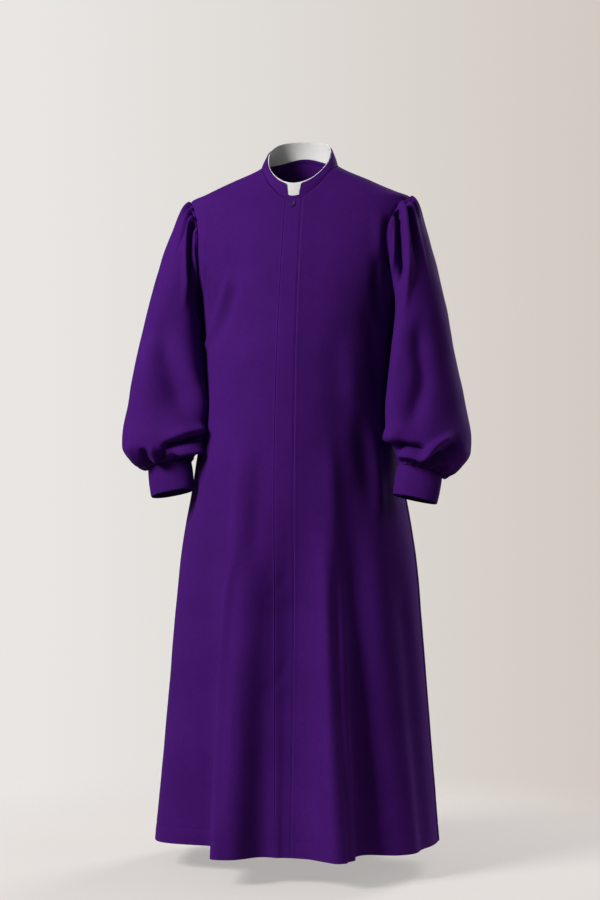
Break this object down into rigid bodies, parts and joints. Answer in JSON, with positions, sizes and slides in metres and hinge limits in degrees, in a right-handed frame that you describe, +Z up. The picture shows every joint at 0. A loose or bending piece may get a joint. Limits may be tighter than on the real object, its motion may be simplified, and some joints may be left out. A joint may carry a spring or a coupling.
{
  "type": "clergy robe",
  "caption": "Full-length purple clergy robe, worn form with nobody in it: fly placket, standing collar with white insert, full gathered sleeves and plain cuffs.",
  "frame": {"origin": "between the shoulders, level with the points where the shoulder seams meet the collar, where the wearer's shoulders carry the robe", "axes": "+Z up, -Y the way the robe faces, +X towards the wearer's left side"},
  "size_m": [0.7181, 0.515, 1.4635],
  "materials": {
    "purple_cloth": "matte fine weave",
    "white_linen": "smooth stiffened linen",
    "button": "satin"
  },
  "bodies": {
    "root": {"front_left": "purple_cloth", "front_right": "purple_cloth", "back": "purple_cloth", "placket": "purple_cloth", "collar": "purple_cloth", "clerical_collar": "white_linen", "sleeve_left": "purple_cloth", "sleeve_right": "purple_cloth", "cuff_left": "purple_cloth", "cuff_right": "purple_cloth", "button_top": "button"}
  },
  "joints": []
}
